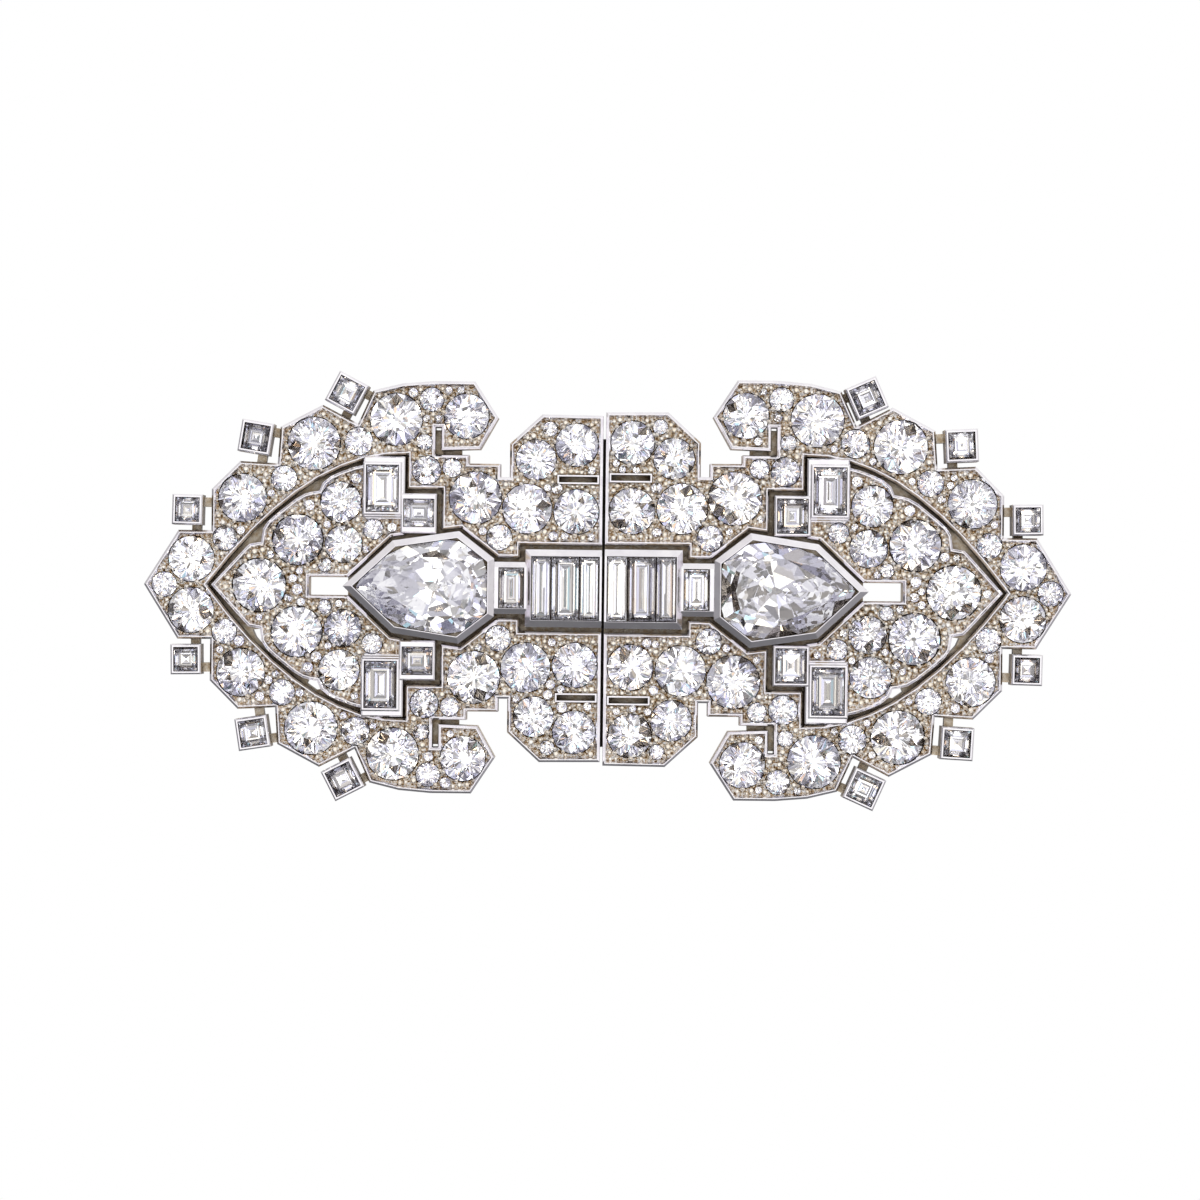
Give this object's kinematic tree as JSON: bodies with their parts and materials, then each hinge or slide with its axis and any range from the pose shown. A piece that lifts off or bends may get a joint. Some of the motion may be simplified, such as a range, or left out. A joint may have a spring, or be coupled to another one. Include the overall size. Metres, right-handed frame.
{
  "type": "double clip brooch",
  "caption": "Art Deco double clip brooch: two mirrored, pierced clips set with round, square, baguette and shield-cut diamonds, joined side by side on a hidden frame with a pin.",
  "frame": {"origin": "middle of the seam between the two clips, in the plane that the brooch rests on", "axes": "+X along the brooch towards the right clip's tip as seen from the front, +Y up the face as worn, +Z out of the face, away from the wearer; the brooch lies on its back"},
  "size_m": [0.07, 0.0328, 0.0071],
  "materials": {
    "metal": "polished platinum",
    "round_stones": "brilliant-cut diamond",
    "small_stones": "old-cut diamond",
    "step_stones": "step-cut diamond",
    "fittings": "polished white metal"
  },
  "bodies": {
    "root": {"left_mount": "metal", "right_mount": "metal", "left_round_diamonds": "small_stones", "right_round_diamonds": "small_stones", "left_shield_diamond": "step_stones", "right_shield_diamond": "step_stones", "left_arrow_diamond": "round_stones", "right_arrow_diamond": "round_stones", "left_upper_side_diamond": "round_stones", "left_lower_side_diamond": "round_stones", "right_upper_side_diamond": "round_stones", "right_lower_side_diamond": "round_stones", "left_upper_tall_baguette": "step_stones", "left_lower_tall_baguette": "step_stones", "right_upper_tall_baguette": "step_stones", "right_lower_tall_baguette": "step_stones", "left_upper_inner_step": "step_stones", "left_lower_inner_step": "step_stones", "right_upper_inner_step": "step_stones", "right_lower_inner_step": "step_stones", "left_upper_square_1": "step_stones", "left_lower_square_1": "step_stones", "right_upper_square_1": "step_stones", "right_lower_square_1": "step_stones", "left_upper_square_2": "step_stones", "left_lower_square_2": "step_stones", "right_upper_square_2": "step_stones", "right_lower_square_2": "step_stones", "left_upper_square_3": "step_stones", "left_lower_square_3": "step_stones", "right_upper_square_3": "step_stones", "right_lower_square_3": "step_stones", "left_channel_baguette_1": "step_stones", "right_channel_baguette_1": "step_stones", "left_channel_baguette_2": "step_stones", "right_channel_baguette_2": "step_stones", "left_channel_baguette_3": "step_stones", "right_channel_baguette_3": "step_stones", "left_channel_baguette_4": "step_stones", "right_channel_baguette_4": "step_stones", "left_clip_fitting": "fittings", "right_clip_fitting": "fittings", "brooch_frame": "fittings"}
  },
  "joints": []
}
